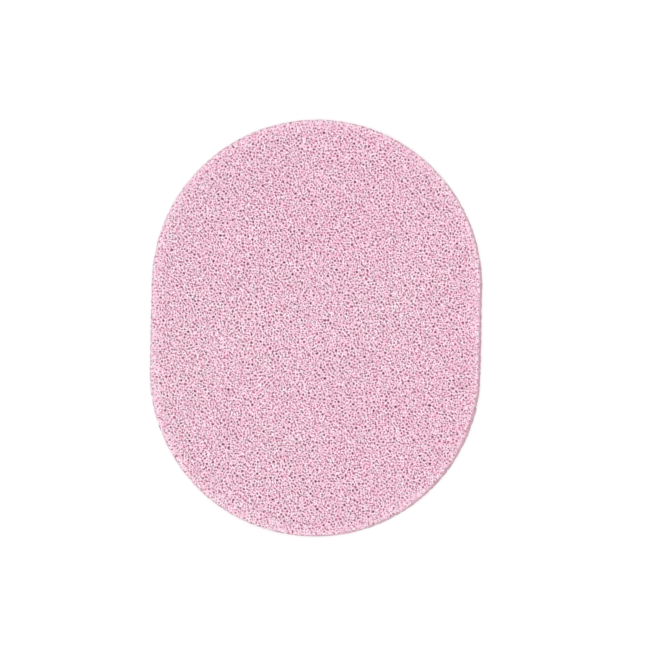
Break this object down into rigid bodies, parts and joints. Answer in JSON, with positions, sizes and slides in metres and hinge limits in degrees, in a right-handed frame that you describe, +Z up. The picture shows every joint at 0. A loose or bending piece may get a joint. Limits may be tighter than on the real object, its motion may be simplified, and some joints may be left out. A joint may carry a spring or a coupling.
{
  "type": "makeup remover sponge",
  "caption": "Flat rounded-oval pad of soft pink open-cell foam for wiping makeup off the face, with a slightly drawn-in cut wall and small rounded rims.",
  "frame": {"origin": "centre of the underside, on the surface that the pad lies on", "axes": "+Z up through the thickness, +Y along the long side, +X across the straight sides"},
  "size_m": [0.067, 0.0846, 0.009],
  "materials": {
    "open_cell_foam": "matt pale pink open-cell foam, cells about 0.7 mm across, cut open on every face"
  },
  "bodies": {
    "root": {"foam_pad": "open_cell_foam"}
  },
  "joints": []
}
